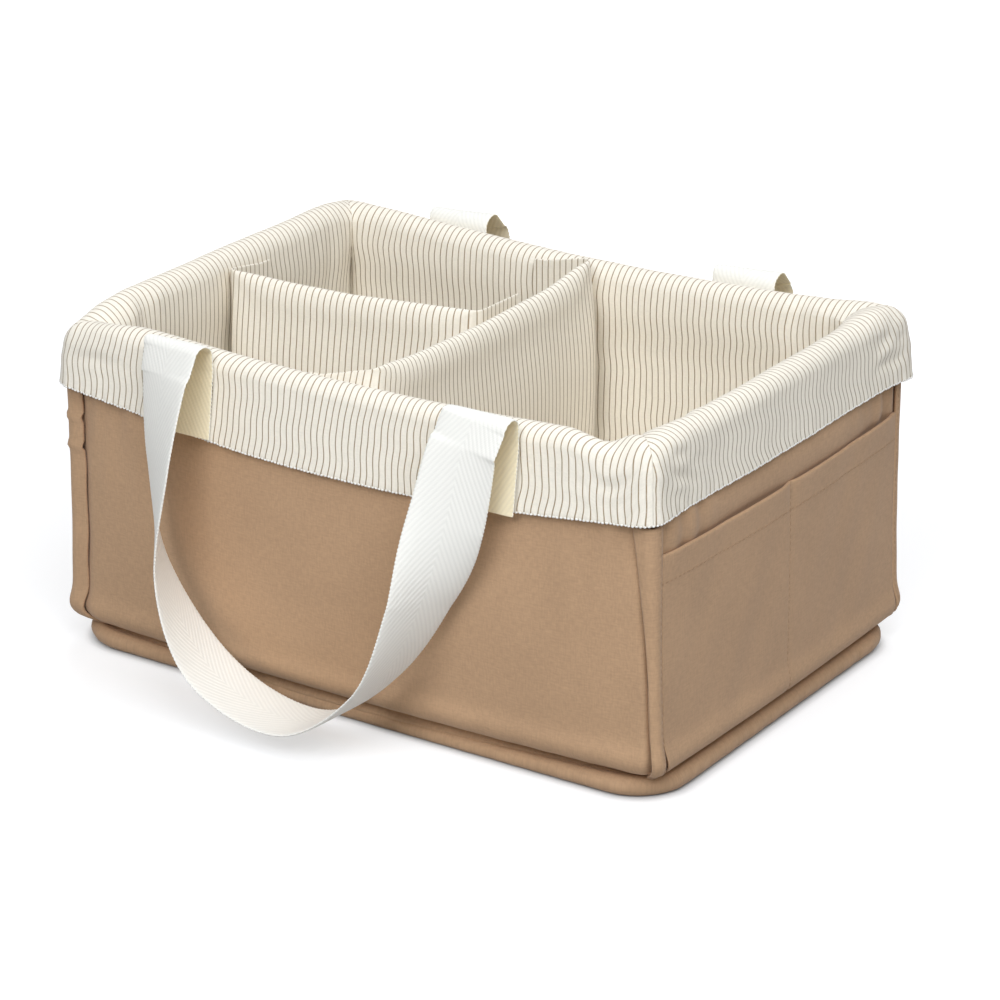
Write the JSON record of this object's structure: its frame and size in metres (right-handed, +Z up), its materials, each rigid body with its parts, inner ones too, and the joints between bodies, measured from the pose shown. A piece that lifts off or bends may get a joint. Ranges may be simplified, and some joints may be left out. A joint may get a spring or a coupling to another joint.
{
  "type": "diaper caddy",
  "caption": "Rectangular padded fabric caddy with a turned-down striped cuff, lift-out padded dividers, flat end pockets and hanging webbing carry handles.",
  "frame": {"origin": "the middle of the underside of the base, on the surface the caddy stands on", "axes": "+Z is up, +X runs along the long side to the right, -Y is the front with the nearer handle"},
  "size_m": [0.3624, 0.3536, 0.1852],
  "materials": {
    "tan_cotton": "matte",
    "striped_cotton": "matte",
    "webbing": "matte",
    "foam": "matte",
    "board": "matte",
    "tape": "matte"
  },
  "bodies": {
    "caddy": {"front_panel": "tan_cotton", "front_pad": "foam", "front_lining": "striped_cotton", "rear_panel": "tan_cotton", "rear_pad": "foam", "rear_lining": "striped_cotton", "left_panel": "tan_cotton", "left_pad": "foam", "left_lining": "striped_cotton", "right_panel": "tan_cotton", "right_pad": "foam", "right_lining": "striped_cotton", "corner_welt_front_left": "tan_cotton", "corner_welt_front_right": "tan_cotton", "corner_welt_rear_left": "tan_cotton", "corner_welt_rear_right": "tan_cotton", "left_pocket": "tan_cotton", "right_pocket": "tan_cotton", "base_panel": "tan_cotton", "base_board": "board", "base_pad": "foam", "base_lining": "striped_cotton", "front_handle_left_tab": "webbing", "front_handle_right_tab": "webbing", "rear_handle_left_tab": "webbing", "rear_handle_right_tab": "webbing", "front_wall_loop_tape": "tape", "rear_wall_loop_tape": "tape", "left_wall_loop_tape": "tape"},
    "cross_divider": {"cross_divider_cover": "striped_cotton", "cross_divider_core": "foam", "cross_divider_front_hook_tape": "tape", "cross_divider_rear_hook_tape": "tape", "cross_divider_loop_tape": "tape"},
    "short_divider": {"short_divider_cover": "striped_cotton", "short_divider_core": "foam", "short_divider_left_hook_tape": "tape", "short_divider_right_hook_tape": "tape"},
    "front_handle": {"front_handle": "webbing", "front_handle_left_fold": "webbing", "front_handle_right_fold": "webbing"},
    "rear_handle": {"rear_handle": "webbing", "rear_handle_left_fold": "webbing", "rear_handle_right_fold": "webbing"}
  },
  "joints": [
    {"name": "front_handle_swing", "type": "hinge", "parent": "caddy", "child": "front_handle", "pos_m": [-0.003, -0.13389, 0.17565], "axis": [-1, 0, 0], "range_deg": [0, 170], "deforming": ["front_handle_left_fold", "front_handle_right_fold"]},
    {"name": "rear_handle_swing", "type": "hinge", "parent": "caddy", "child": "rear_handle", "pos_m": [-0.011, 0.12968, 0.1742], "axis": [1, 0, 0], "range_deg": [0, 170], "deforming": ["rear_handle_left_fold", "rear_handle_right_fold"]},
    {"name": "cross_divider_lift", "type": "slide", "parent": "caddy", "child": "cross_divider", "axis": [0, 0, 1], "range_m": [0, 0.18]},
    {"name": "short_divider_lift", "type": "slide", "parent": "caddy", "child": "short_divider", "axis": [0, 0, 1], "range_m": [0, 0.18]}
  ]
}
